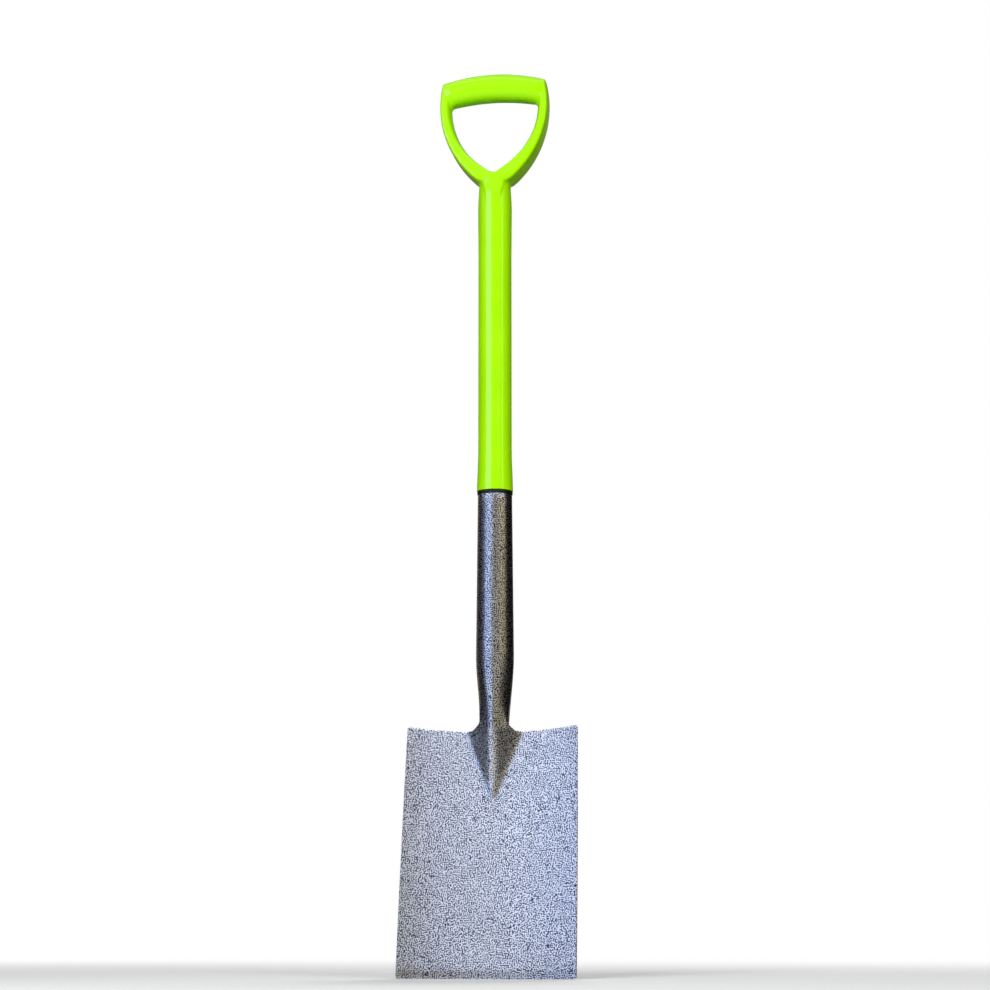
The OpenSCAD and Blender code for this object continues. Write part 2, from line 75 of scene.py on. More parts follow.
shaft_y = (sleeve_low[1] + sleeve_high[1]) / 2
rim_z = sleeve_low[2]
sleeve_top = sleeve_high[2]
bar_top = grip_high[2]
print(f"shaft line at y {shaft_y:.2f}, socket top at z {socket_top:.2f}")
print(f"sleeve from z {rim_z:.2f} to {sleeve_top:.2f}, bar top at {bar_top:.2f}")

# %% [markdown]
# ## Helpers for lofted and turned pieces
# Almost every piece of a spade is either turned (ring, sleeve, rivets) or pressed and moulded
# so that its cross-section changes along a line (blade, socket, grip). Both are rings of
# points joined by quads, so one helper builds the skin and one makes the object.

# %% Skin, object and small curves
sharp_angle = math.radians(40)


def mix(a, b, k):
    """Value at the share k of the way from a to b."""
    return a + (b - a) * k


def ease(k):
    """Share from 0 to 1 that starts and ends gently."""
    k = np.clip(k, 0.0, 1.0)
    return k * k * (3 - 2 * k)


def signed_power(a, power):
    """Power that keeps the sign; on a circle, less than 1 squares it and more pinches it."""
    return np.sign(a) * np.abs(a) ** power


def skin(rings, loop=False, caps=True):
    """Points and faces over rings of equal length; loop joins the last ring to the first."""
    rings = np.asarray(rings, float)
    rows, count = rings.shape[:2]
    faces = []
    for j in range(rows if loop else rows - 1):
        a, b = j * count, (j + 1) % rows * count
        for i in range(count):
            k = (i + 1) % count
            faces.append((a + i, a + k, b + k, b + i))
    if caps and not loop:
        last = (rows - 1) * count
        faces.append(tuple(range(count)))
        faces.append(tuple(range(last, last + count)))
    return rings.reshape(-1, 3), faces


def make_piece(name, points, faces, weld=None):
    """Smooth-shaded mesh object from points in millimetres, with its normals facing out."""
    mesh = bpy.data.meshes.new(name)
    mesh.from_pydata((np.asarray(points) * MM).tolist(), [], faces)
    bm = bmesh.new()
    bm.from_mesh(mesh)
    if weld:
        bmesh.ops.remove_doubles(bm, verts=bm.verts, dist=weld * MM)
    bmesh.ops.recalc_face_normals(bm, faces=bm.faces)
    bm.to_mesh(mesh)
    bm.free()
    mesh.shade_smooth()
    mesh.set_sharp_from_angle(angle=sharp_angle)
    piece = bpy.data.objects.new(name, mesh)
    bpy.context.scene.collection.objects.link(piece)
    return piece


def turned(profile, sides=96):
    """Rings round the shaft line for a profile of (radius, height) points."""
    angle = np.linspace(0, 2 * math.pi, sides, endpoint=False)
    return [
        np.stack([r * np.cos(angle), shaft_y + r * np.sin(angle), np.full(sides, z)], 1)
        for r, z in profile
    ]


def settle(piece, node, finish):
    """Gives a piece its finish and lets it stand for its CAD node."""
    piece.data.materials.clear()
    piece.data.materials.append(finish)
    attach(piece, "root")
    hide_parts(node)
    print(f"{piece.name}: {len(piece.data.polygons)} faces, stands for {node}")


# %% [markdown]
# ## Helpers for the finishes
# A finish is a small node tree. One function adds a node, sets it up and links it, so that a
# material reads from top to bottom. Colours are written as sRGB hex values, the way a paint
# chart or a colour picker gives them, and turned to the linear values that Blender works in.

# %% Colours and nodes
def linear(hex_colour):
    """Linear RGBA from an sRGB hex value."""
    parts = [int(hex_colour[i : i + 2], 16) / 255 for i in (1, 3, 5)]
    return [c / 12.92 if c <= 0.04045 else ((c + 0.055) / 1.055) ** 2.4 for c in parts] + [1.0]


def per_metre(size_mm):
    """Texture scale at which one cell of a pattern has this size."""
    return 1 / (size_mm * MM)


def add(tree, kind, inputs=None, **settings):
    """Adds a node; inputs holds values, or sockets to link from, by input name or number."""
    node = tree.nodes.new("ShaderNode" + kind)
    for name, value in settings.items():
        setattr(node, name, value)
    for name, value in (inputs or {}).items():
        if isinstance(value, bpy.types.NodeSocket):
            tree.links.new(value, node.inputs[name])
        else:
            node.inputs[name].default_value = value
    return node


def ramp(node, *stops):
    """Sets the stops of a colour ramp, each a position and a linear colour."""
    elements = node.color_ramp.elements
    while len(elements) < len(stops):
        elements.new(0.5)
    for element, (position, colour) in zip(elements, stops):
        element.position = position
        element.color = colour
    return node


def new_finish(name):
    """A bare material: its tree, its shader and its position in metres on the object."""
    finish = bpy.data.materials.new(name)
    finish.use_nodes = True
    tree = finish.node_tree
    shader = tree.nodes["Principled BSDF"]
    place = add(tree, "TexCoord").outputs["Object"]
    return finish, tree, shader, place


# %% [markdown]
# ## Hammer-finish coat
# The blade and the socket have a hammer-finish powder coat: silver flakes in a dark binder
# that shrinks into small dimples as it cures. The eye sees pale silver cells with short dark
# worms between them, all of one width and running every way. The lilac-blue tint of the cells
# is painted sky reflection, laid into the coat's colour. An image of the coat would
# repeat, and cloudy noise has no one width, so the worms are wave noise of one pitch. Its
# waves favour one axis, so two such noises are crossed and averaged. The average drives
# colour, roughness and relief, and the flakes make the coat mirror as a metal does.

# %% Material: hammer-finish powder coat
worm_pitch = 2.05
waves_per_cell = 2.0
dimple_depth = 0.12

hammer_coat, tree, shader, place = new_finish("hammer_finish_powder_coat")
crossed = add(tree, "Mapping", {"Vector": place, "Rotation": (0.0, math.pi / 2, 0.0)})
upright_waves, level_waves = [
    add(
        tree,
        "TexGabor",
        {
            "Vector": vector,
            "Scale": per_metre(waves_per_cell * worm_pitch),
            "Frequency": waves_per_cell,
            "Anisotropy": 0.0,
        },
        gabor_type="3D",
    ).outputs["Value"]
    for vector in (place, crossed.outputs[0])
]
both = add(tree, "Math", {0: upright_waves, 1: level_waves}, operation="ADD")
worms = add(tree, "Math", {0: both.outputs[0], 1: 0.5}, operation="MULTIPLY").outputs[0]
# The dark worms and silver cells are the coat's own pattern; the blue in these stops is painted sky
# reflection.
cells = ramp(
    add(tree, "ValToRGB", {"Fac": worms}),
    (0.429, linear("#12141C")),
    (0.472, linear("#989CBA")),
    (0.521, linear("#FCFDFF")),
)
gloss = add(
    tree,
    "MapRange",
    {"Value": worms, "From Min": 0.43, "From Max": 0.57, "To Min": 0.29, "To Max": 0.276},
)
relief = add(
    tree,
    "Bump",
    {"Height": worms, "Strength": 1.0, "Distance": dimple_depth * MM},
)
tree.links.new(cells.outputs["Color"], shader.inputs["Base Color"])
tree.links.new(gloss.outputs["Result"], shader.inputs["Roughness"])
tree.links.new(relief.outputs["Normal"], shader.inputs["Normal"])
shader.inputs["Metallic"].default_value = 1.0
print("finish:", hammer_coat.name)

# %% [markdown]
# ## Lime green polypropylene
# The sleeve and the grip are injection-moulded polypropylene in a strong lime green. It is a
# soft plastic with a satin-gloss skin: highlights are broad with soft edges, and the mould
# leaves a very fine grain. The colour is nearly even, with a slight cloudiness.

# %% Material: lime polypropylene
grain_size = 0.9  # the real grain is about 0.2 mm and would not show
grain_depth = 0.05
cloud_size = 45

lime_plastic, tree, shader, place = new_finish("lime_moulded_polypropylene")
clouds = add(tree, "TexNoise", {"Vector": place, "Scale": per_metre(cloud_size), "Detail": 2.0})
tint = ramp(
    add(tree, "ValToRGB", {"Fac": clouds.outputs["Fac"]}),
    (0.3, linear("#A7F400")),
    (0.7, linear("#AEFA01")),
)
grain = add(tree, "TexNoise", {"Vector": place, "Scale": per_metre(grain_size), "Detail": 2.0})
satin = add(
    tree,
    "MapRange",
    {"Value": clouds.outputs["Fac"], "From Min": 0.3, "From Max": 0.7, "To Min": 0.11, "To Max": 0.15},
)
skin_relief = add(
    tree, "Bump", {"Height": grain.outputs["Fac"], "Strength": 0.25, "Distance": grain_depth * MM}
)
tree.links.new(tint.outputs["Color"], shader.inputs["Base Color"])
tree.links.new(satin.outputs["Result"], shader.inputs["Roughness"])
tree.links.new(skin_relief.outputs["Normal"], shader.inputs["Normal"])
shader.inputs["IOR"].default_value = 1.49
shader.inputs["Specular IOR Level"].default_value = 0.15
print("finish:", lime_plastic.name)

# %% [markdown]
# ## Black moulded plastic, zinc and drawn steel
# Three small finishes are left. The collar ring is black moulded plastic with a dull satin
# skin. The grip screw is zinc-plated, a pale grey metal with a slight mottle. The shaft tube
# inside is drawn steel with fine lines along its length.

# %% Material: black plastic
mottle_size = 1.5  # coarser than the mould's own grain, so that it shows

black_plastic, tree, shader, place = new_finish("black_moulded_plastic")
mottle = add(tree, "TexNoise", {"Vector": place, "Scale": per_metre(mottle_size), "Detail": 3.0})
black = ramp(
    add(tree, "ValToRGB", {"Fac": mottle.outputs["Fac"]}),
    (0.3, linear("#070808")),
    (0.7, linear("#0E100F")),
)
dull = add(
    tree,
    "MapRange",
    {"Value": mottle.outputs["Fac"], "From Min": 0.3, "From Max": 0.7, "To Min": 0.38, "To Max": 0.5},
)
tree.links.new(black.outputs["Color"], shader.inputs["Base Color"])
tree.links.new(dull.outputs["Result"], shader.inputs["Roughness"])
shader.inputs["IOR"].default_value = 1.5
print("finish:", black_plastic.name)

# %% Material: zinc plate and drawn steel
spangle_size = 0.8
line_width = 0.6  # real drawing lines are finer than 0.1 mm and would not show
line_stretch = 0.02

zinc, tree, shader, place = new_finish("zinc_plated_steel")
spangle = add(tree, "TexVoronoi", {"Vector": place, "Scale": per_metre(spangle_size)})
zinc_tone = ramp(
    add(tree, "ValToRGB", {"Fac": spangle.outputs["Distance"]}),
    (0.0, linear("#B9BCC0")),
    (1.0, linear("#D3D6DA")),
)
tree.links.new(zinc_tone.outputs["Color"], shader.inputs["Base Color"])
shader.inputs["Metallic"].default_value = 1.0
shader.inputs["Roughness"].default_value = 0.32

drawn_steel, tree, shader, place = new_finish("drawn_steel_tube")
stretched = add(tree, "Mapping", {"Vector": place, "Scale": (1.0, 1.0, line_stretch)})
lines = add(tree, "TexNoise", {"Vector": stretched.outputs[0], "Scale": per_metre(line_width)})
steel_tone = ramp(
    add(tree, "ValToRGB", {"Fac": lines.outputs["Fac"]}),
    (0.3, linear("#9A9DA2")),
    (0.7, linear("#BFC2C6")),
)
tree.links.new(steel_tone.outputs["Color"], shader.inputs["Base Color"])
shader.inputs["Metallic"].default_value = 1.0
shader.inputs["Roughness"].default_value = 0.38
print("finishes:", zinc.name, drawn_steel.name)

# %% [markdown]
# ## Blade
# The blade is one sheet of steel, pressed to a shallow dish that is deepest at the top edge,
# with a V-shaped frog raised in the middle to take the socket. A subdivision cage would need
# many control points to hold that V, so the sheet is a fine grid of one formula: dish plus
# frog. Its rim is half-round, as shears and a thick coat leave it, and the cutting edge is
# ground thin and flat.

# %% Shape of the blade sheet
blade_w = 193
blade_l = 271
blade_t = 2.4
blade_lift = math.radians(13.5)
dish_top = 20
dish_tip = 3.5
shoulder_rise = 2
corner_r = 3
edge_t = 1.2
edge_l = 9
frog_w = 54
frog_l = 72
frog_h = 21
frog_ridge_r = 4
frog_foot = 0.08
welded_half = 21
half_w = blade_w / 2


def dish_r(t):
    """Radius of the dish at a distance t above the cutting edge."""
    depth = mix(dish_tip, dish_top, np.clip(t / blade_l, 0, 1))
    return half_w**2 / (2 * depth)


def sheet_n(x, t):
    """Height of the sheet's middle above the blade's own plane: the dish plus the frog."""
    r = dish_r(t)
    dish = r - np.sqrt(r * r - x * x)
    along = (t - blade_l + frog_l) / frog_l
    across = (np.sqrt(x * x + frog_ridge_r**2) - frog_ridge_r) / (frog_w / 2)
    q = along - across
    return dish + frog_h * (q + np.sqrt(q * q + frog_foot**2)) / 2


def on_blade(x, n, t):
    """Point of the leaning blade: x across, n out of its plane to the front, t up along it."""
    sin, cos = math.sin(blade_lift), math.cos(blade_lift)
    return np.stack(np.broadcast_arrays(x, t * sin - n * cos, t * cos + n * sin), -1)


def sheet(s, v, side):
    """Grid of one face of the sheet: s along its width, v from cutting edge to top edge."""
    over = np.maximum(0, np.abs(s) - half_w + corner_r)
    cut = corner_r - np.sqrt(np.maximum(0, corner_r**2 - over**2))
    r0 = dish_r(0.0)
    n0 = sheet_n(r0 * np.sin(s / r0), 0.0) + side * edge_t / 2
    low = -n0 * math.tan(blade_lift) + cut
    high = blade_l + shoulder_rise * np.abs(s) / half_w - cut
    t = mix(low, high, v)
    up = np.maximum(0, t)
    r = dish_r(up)
    x = r * np.sin(s / r)
    half_t = mix(edge_t, blade_t, np.clip(up / edge_l, 0, 1)) / 2
    under_weld = 1 - ease((np.abs(s) - welded_half) / corner_r)
    to_rim = np.minimum(half_w - np.abs(s), high - t + under_weld * blade_t)
    round_over = np.sqrt(np.clip(1 - (1 - np.minimum(to_rim / half_t, 1)) ** 2, 0, 1))
    return on_blade(x, sheet_n(x, up) + side * half_t * round_over, t)


# %% Build the blade
frog_margin = 8
weld_distance = 0.002
frog_reach = frog_w / 2 + frog_margin
quarter = np.linspace(0, math.pi / 2, 13)
half_columns = np.concatenate(
    [
        np.linspace(0, frog_reach, 36),
        np.linspace(frog_reach, half_w - corner_r, 25)[1:],
        half_w - corner_r + corner_r * np.sin(quarter[1:]),
    ]
)
columns = np.concatenate([-half_columns[:0:-1], half_columns])
frog_v = 1 - (frog_l + frog_margin) / blade_l
rim_v = 1 - blade_t / 2 / blade_l
rows = np.concatenate(
    [
        np.linspace(0, edge_l / blade_l, 7),
        np.linspace(edge_l / blade_l, frog_v, 56)[1:],
        np.linspace(frog_v, rim_v, 62)[1:],
        mix(rim_v, 1, np.sin(quarter[2::2])),
    ]
)
front = sheet(columns[None, :], rows[:, None], 1)
back = sheet(columns[None, :], rows[:, None], -1)
sheet_rings = np.concatenate([front, back[:, ::-1]], 1)
points, faces = skin(sheet_rings, caps=False)
count = len(columns)
for i in range(count - 1):
    faces.append((i, i + 1, 2 * count - 2 - i, 2 * count - 1 - i))
blade = make_piece("blade_sheet", points, faces, weld=weld_distance)
settle(blade, "blade", hammer_coat)

# %% [markdown]
# ## Socket
# The socket is a steel tube, slightly wider at its lower end. Its last stretch is pressed to
# a blunt V that lies in the back of the frog, and runs out in a flat tongue. Each ring of
# the loft is half an ellipse at the back and a sharper curve at the front. Below the top
# edge of the blade the front follows the back of the frog, and above it the front starts
# flush with the frog and soon rounds out to the tube.

# %% Shape of the socket
socket_mouth_r = 38.2 / 2
socket_low_r = 41.8 / 2
press_l = 88
front_round_l = 46
neck_half = 30.5 / 2
neck_front = 19.5
neck_back = 23
tongue_l = 54
tongue_end_t = 4
tongue_end_half = 5
neck_round = 1.35
seat_gap = 0.4
follow_l = 26
shaft_bore_r = 17.15

edge_z = blade_l * math.cos(blade_lift)
press_top = edge_z + press_l
tongue_z = edge_z - tongue_l * math.cos(blade_lift)


def socket_r(z):
    """Outer radius of the round tube at height z."""
    return mix(socket_low_r, socket_mouth_r, (z - press_top) / (socket_top - press_top))


def blade_y(x, z, side):
    """Face of the blade at x and height z, found by closing in on it; side is 1 in front."""
    n = np.zeros_like(x)
    for _ in range(5):
        t = (z - n * math.sin(blade_lift)) / math.cos(blade_lift)
        n = sheet_n(x, t) + side * blade_t / 2
    return t * math.sin(blade_lift) - n * math.cos(blade_lift)


def follow_edge(x, z):
    """Height z, bent so that the rows near the top edge run along it."""
    rise = sheet_n(x, np.full_like(x, blade_l)) * math.sin(blade_lift)
    return z + rise * (1 - ease(np.abs(z - edge_z) / follow_l))


tongue_front = blade_y(np.zeros(1), np.full(1, tongue_z), -1)[0] + seat_gap


def press_half(z):
    """Half the width of the pressed end at height z."""
    if z > edge_z:
        return mix(neck_half, socket_r(z), ease((z - edge_z) / press_l))
    return mix(tongue_end_half, neck_half, (z - tongue_z) / (edge_z - tongue_z))


def press_ring(z, sides=96):
    """Ring of the pressed end at height z: behind the frog below its top edge, flush above."""
    angle = np.linspace(0, 2 * math.pi, sides, endpoint=False)
    up = ease((z - edge_z) / press_l)
    tongue = ease((z - tongue_z) / (edge_z - tongue_z))
    above = z > edge_z
    if above:
        back = shaft_y + mix(neck_back, socket_r(z), up)
    else:
        back = mix(tongue_front + tongue_end_t, shaft_y + neck_back, tongue)
    middle = mix(tongue_front + tongue_end_t / 2, shaft_y, tongue)
    front = shaft_y - mix(neck_front, socket_r(z), up)
    is_front = np.sin(angle) < 0
    power = np.where(is_front, 2 / mix(neck_round, 2, up), 1.0)
    x = press_half(z) * signed_power(np.cos(angle), power)
    reach = np.where(is_front, middle - front, back - middle)
    y = middle + reach * signed_power(np.sin(angle), power)
    bent = follow_edge(x, np.full(sides, z))
    if above:
        edge_x = neck_half * signed_power(np.cos(angle), 2 / neck_round)
        flush = blade_y(edge_x, follow_edge(edge_x, np.full(sides, edge_z)), 1)
        round_y = shaft_y + socket_r(z) * np.sin(angle)
        rounding = ease((z - edge_z) / front_round_l)
        y = np.where(is_front, mix(flush, round_y, rounding), y)
    else:
        y = np.maximum(y, blade_y(x, bent, -1) + seat_gap)
    return np.stack([x, y, bent], 1)


# %% Build the socket
joint_gap = 0.3
lip_r = 0.7
heights = np.concatenate(
    [
        np.linspace(tongue_z, edge_z, 40),
        mix(edge_z + joint_gap, press_top, np.linspace(0, 1, 70)),
    ]
)
lip = np.linspace(0, math.pi / 2, 6)
tube_profile = [(socket_r(z), z) for z in np.linspace(press_top, socket_top - lip_r, 20)[1:]]
tube_profile += [
    (socket_mouth_r - lip_r + lip_r * math.cos(a), socket_top - lip_r + lip_r * math.sin(a))
    for a in lip[1:]
]
tube_profile += [(shaft_bore_r, socket_top), (shaft_bore_r, press_top)]
socket_rings = [press_ring(z) for z in heights] + turned(tube_profile)
socket = make_piece("socket_tube", *skin(socket_rings))
settle(socket, "socket", hammer_coat)

# %% [markdown]
# ## Weld beads
# A bead on each side joins the tongue to the back of the frog, and flares out where it comes
# over the top edge, flush with the front of the frog. A weld is laid in small pools that
# freeze one over the other, so its size ripples along the hidden length. It is lofted from
# one ring of points, whose leg swells and shrinks.

# %% Build the weld beads
weld_leg = 5
weld_flare = 9
weld_flare_l = 16
weld_rise = 9
weld_pool = 2.6
weld_in = 1.5
weld_start_l = 4
weld_start_share = 0.25
weld_ripple = 0.05
weld_tip_share = 0.04
weld_tip_power = 1.6
fillet_power = 0.7
fillet_steps = 10
front_gap = 0.1
weld_end_share = 0.12
weld_end = mix(tongue_z, edge_z, weld_end_share)


def weld_leg_at(z):
    """Leg of the bead at height z: rippled behind the frog, running out above the top edge."""
    if z > edge_z:
        return weld_flare * max(weld_tip_share, 1 - (z - edge_z) / weld_rise) ** weld_tip_power
    start = np.clip((z - weld_end) / weld_start_l, weld_start_share, 1)
    pool = 1 - weld_ripple + weld_ripple * math.sin(2 * math.pi * z / weld_pool)
    flare = ease((z - edge_z + weld_flare_l) / weld_flare_l)
    return mix(weld_leg * start * pool, weld_flare, flare)


def weld_ring(z):
    """Ring of a bead: along the blade outwards, then back to the neck over a rounded fillet."""
    inner = press_half(z) - weld_in
    leg = weld_leg_at(z) + weld_in
    fan = np.linspace(0, math.pi / 2, fillet_steps)
    x = inner + leg * np.concatenate([np.linspace(0, 1, fillet_steps), np.cos(fan) ** fillet_power])
    bent = follow_edge(x, np.full(len(x), z))
    back = blade_y(x, bent, -1) + seat_gap
    front = blade_y(x, bent, 1) + front_gap if z > edge_z else back
    y = np.where(np.arange(len(x)) < fillet_steps, front, back)
    y[fillet_steps:] += leg * np.sin(fan) ** fillet_power
    return np.stack([x, y, bent], 1)


bead_heights = np.concatenate(
    [
        np.linspace(weld_end, edge_z, 90),
        np.linspace(edge_z + joint_gap, edge_z + weld_rise, 24),
    ]
)
bead_points, bead_faces = skin([weld_ring(z) for z in bead_heights])
other_side = bead_points * [-1, 1, 1]
offset = len(bead_points)
bead_faces = bead_faces + [tuple(i + offset for i in face) for face in bead_faces]
weld = make_piece("weld_beads", np.concatenate([bead_points, other_side]), bead_faces)
settle(weld, "frog_weld", hammer_coat)

# %% [markdown]
# ## Rivets and screw
# Two blind rivets at the back pin the socket to the shaft tube, and one screw pins the grip.
# A blind rivet has a low dome with the broken end of its mandrel in a dimple; the screw has
# a domed head with a square recess. Both are turned profiles laid along +Y, and the square
# recess is a ring of the same profile pulled square.

# %% Build the rivets
def laid_back(profile, z, sides=48):
    """Rings for a fastener that points backwards: (radius, distance from the shaft line)."""
    angle = np.linspace(0, 2 * math.pi, sides, endpoint=False)
    return [
        np.stack([r * np.cos(angle), np.full(sides, shaft_y + d), z + r * np.sin(angle)], 1)
        for r, d in profile
    ]


slide_gap = 0.15
rivet_drops = (28, 73)
rivet_r = 2.4
rivet_head_r = 4.75
rivet_head_h = 1.8
rivet_dome = 1.2
rivet_tail_r = 3.4
rivet_tail_in = 12.0
rivet_tail_out = 14.8
tail_step = 0.1
mandrel = [(1.3, 1.45), (1.1, 1.2), (0.9, 1.5), (0.5, 1.55)]  # radius and height above the seat
rivet_points = []
rivet_faces = []
for down in rivet_drops:
    seat = socket_r(socket_top - down) + slide_gap
    profile = [
        (rivet_tail_r, rivet_tail_in),
        (rivet_tail_r, rivet_tail_out),
        (rivet_r, rivet_tail_out + tail_step),
        (rivet_r, seat),
    ]
    profile += [
        (rivet_head_r * math.cos(a), seat + rivet_head_h * math.sin(a))
        for a in np.linspace(0, rivet_dome, 9)
    ]
    profile += [(r, seat + h) for r, h in mandrel]
    ring_points, ring_faces = skin(laid_back(profile, socket_top - down))
    offset = sum(len(p) for p in rivet_points)
    rivet_points.append(ring_points)
    rivet_faces += [tuple(i + offset for i in face) for face in ring_faces]
rivets = make_piece("blind_rivets", np.concatenate(rivet_points), rivet_faces)
settle(rivets, "socket_rivets", hammer_coat)

# %% Build the screw
screw_rise = 40
screw_inset = 0.9
screw_r = 2.0
screw_tip_r = 0.8
screw_l = 14
screw_tip_l = 3
screw_head_r = 4
screw_head_h = 2.2
screw_dome = 0.95
recess_half = 1.3
recess_h = 1.4
recess_rim = 0.05
screw_z = sleeve_top + screw_rise
screw_seat = shaft_bore_r + screw_inset
screw_top = screw_seat + screw_head_h
profile = [
    (screw_tip_r, screw_top - screw_l),
    (screw_r, screw_top - screw_l + screw_tip_l),
    (screw_r, screw_seat),
]
profile += [
    (screw_head_r * math.cos(a), screw_seat + screw_head_h * math.sin(a))
    for a in np.linspace(0, screw_dome, 8)
]
screw_rings = laid_back(profile, screw_z)
for depth in (recess_rim, recess_h):
    ring = laid_back([(recess_half, screw_top - depth)], screw_z)[0]
    side = np.maximum(np.abs(ring[:, 0]), np.abs(ring[:, 2] - screw_z)) / recess_half
    ring[:, 0] /= side
    ring[:, 2] = screw_z + (ring[:, 2] - screw_z) / side
    screw_rings.append(ring)
screw = make_piece("grip_screw_head", *skin(screw_rings))
settle(screw, "grip_screw", zinc)

# %% [markdown]
# ## Collar ring and sleeve
# The black ring covers the mouth of the socket, and the sleeve flares out over it. Both are
# turned profiles with small radii on every edge that shows: a moulded edge is never quite
# sharp, and the radius is what catches the light.

# %% Build the ring
ring_r = (ring_high[0] - ring_low[0]) / 2
ring_edge = 0.9
spigot_wall = 1.4
spigot_r = shaft_bore_r + spigot_wall
fan = np.linspace(-math.pi / 2, math.pi / 2, 13)
ring_mid = (socket_top + rim_z) / 2
ring_half = (rim_z - socket_top) / 2
ring_profile = [
    (ring_r - ring_edge + ring_edge * math.cos(a), ring_mid + ring_half * math.sin(a))
    for a in fan
]
ring_profile += [
    (spigot_r, rim_z),
    (spigot_r, ring_high[2]),
    (shaft_bore_r, ring_high[2]),
    (shaft_bore_r, socket_top),
]
collar = make_piece("collar_ring_moulding", *skin(turned(ring_profile, 128), loop=True))
settle(collar, "collar_ring", black_plastic)

# %% Build the sleeve
sleeve_r = 37.5 / 2
flare_r = (sleeve_high[0] - sleeve_low[0]) / 2
flare_l = 52
flare_start = 0.15
rim_edge = 0.6
sleeve_lip = [
    (flare_r - rim_edge + rim_edge * math.sin(a), rim_z + rim_edge - rim_edge * math.cos(a))
    for a in np.linspace(0, math.pi / 2, 6)
]
flare = [
    (mix(flare_r, sleeve_r, ease(mix(flare_start, 1, k))), rim_z + mix(rim_edge, flare_l, k))
    for k in np.linspace(0, 1, 40)
]
straight = [(sleeve_r, z) for z in np.linspace(rim_z + flare_l, sleeve_top, 30)[1:]]
spigot_hole_r = spigot_r + slide_gap
spigot_hole_top = ring_high[2] + slide_gap
sleeve_profile = [(spigot_hole_r, rim_z)] + sleeve_lip + flare + straight
sleeve_profile += [(shaft_bore_r, sleeve_top), (shaft_bore_r, spigot_hole_top)]
sleeve_profile += [(spigot_hole_r, spigot_hole_top)]
sleeve = make_piece("shaft_sleeve_moulding", *skin(turned(sleeve_profile, 128), loop=True))
settle(sleeve, "shaft_sleeve", lime_plastic)

# %% [markdown]
# ## D-grip
# The grip is one moulding: a round neck that forks into two arms, and a bar across the top.
# A curve with a bevel would give every section the same shape, so the loop of the D is lofted
# between an inner and an outer line, each a chain of arcs that touch. Its sections are
# rounded oblongs: nearly round on the bar, squarer on the arms, and rounder again on the
# arms' inner side, where fingers go.

# %% Outline of the D
neck_l = 86
neck_r = 38.8 / 2
fork_rise = 10.5
opening_h = 87.5
opening_half = 50
opening_corner_r = 6
opening_foot_r = 7
opening_arch_r = 240
bar_arch_r = 195
grip_half = (grip_high[0] - grip_low[0]) / 2
grip_corner_r = 5
root_l = 14
fork_z = sleeve_top + neck_l
opening_low = fork_z + fork_rise
bar_low = opening_low + opening_h
side_z = bar_low - opening_corner_r


def meet(a, ra, b, rb):
    """Point that lies ra from a and rb from b, on the side of larger x and z."""
    apart = b - a
    d = np.hypot(*apart)
    along = (ra * ra - rb * rb + d * d) / (2 * d)
    off = math.sqrt(ra * ra - along * along)
    u = apart / d
    return a + along * u + off * np.array([-u[1], u[0]])


def arc(centre, r, start, end, steps):
    """Points on a circle, from one direction to another, without the first."""
    angles = np.linspace(math.atan2(start[1], start[0]), math.atan2(end[1], end[0]), steps + 1)
    return centre + r * np.stack([np.cos(angles), np.sin(angles)], 1)[1:]


up = np.array([0.0, 1.0])
foot_c = np.array([0, opening_low + opening_foot_r])
foot_drop = side_z - foot_c[1]
opening_side_r = (opening_half**2 + foot_drop**2 - opening_foot_r**2) / (
    2 * (opening_half - opening_foot_r)
)
fork_in = grip_half - neck_r
fork_drop = side_z - fork_z
grip_side_r = (fork_in**2 + fork_drop**2) / (2 * fork_in)
print(f"side arcs: opening {opening_side_r:.1f}, outside {grip_side_r:.1f}")

# %% Inner and outer line of the D
# Number of points on each stretch of the two lines
steps = {"bar": 24, "corner": 14, "side": 60, "foot": 14}
top_c = np.array([0, bar_top - bar_arch_r])
out_c = np.array([grip_half - grip_side_r, side_z])
top_corner = meet(out_c, grip_side_r - grip_corner_r, top_c, bar_arch_r - grip_corner_r)
under_c = np.array([0, bar_low - opening_arch_r])
in_c = np.array([opening_half - opening_side_r, side_z])
under_corner = meet(
    in_c, opening_side_r - opening_corner_r, under_c, opening_arch_r - opening_corner_r
)
fork_point = np.array([neck_r, fork_z])
foot_k = np.linspace(0, 1, steps["foot"] + 1)[1:, None]
outer = np.concatenate(
    [
        [[0, bar_top]],
        arc(top_c, bar_arch_r, up, top_corner - top_c, steps["bar"]),
        arc(top_corner, grip_corner_r, top_corner - top_c, top_corner - out_c, steps["corner"]),
        arc(out_c, grip_side_r, top_corner - out_c, fork_point - out_c, steps["side"]),
        mix(fork_point, np.array([0, fork_z - root_l / 2]), foot_k),
    ]
)
inner = np.concatenate(
    [
        [[0, bar_low]],
        arc(under_c, opening_arch_r, up, under_corner - under_c, steps["bar"]),
        arc(under_corner, opening_corner_r, under_corner - under_c, under_corner - in_c, steps["corner"]),
        arc(in_c, opening_side_r, under_corner - in_c, foot_c - in_c, steps["side"]),
        arc(foot_c, opening_foot_r, foot_c - in_c, -up, steps["foot"]),
    ]
)
print("outline points per half:", len(outer))

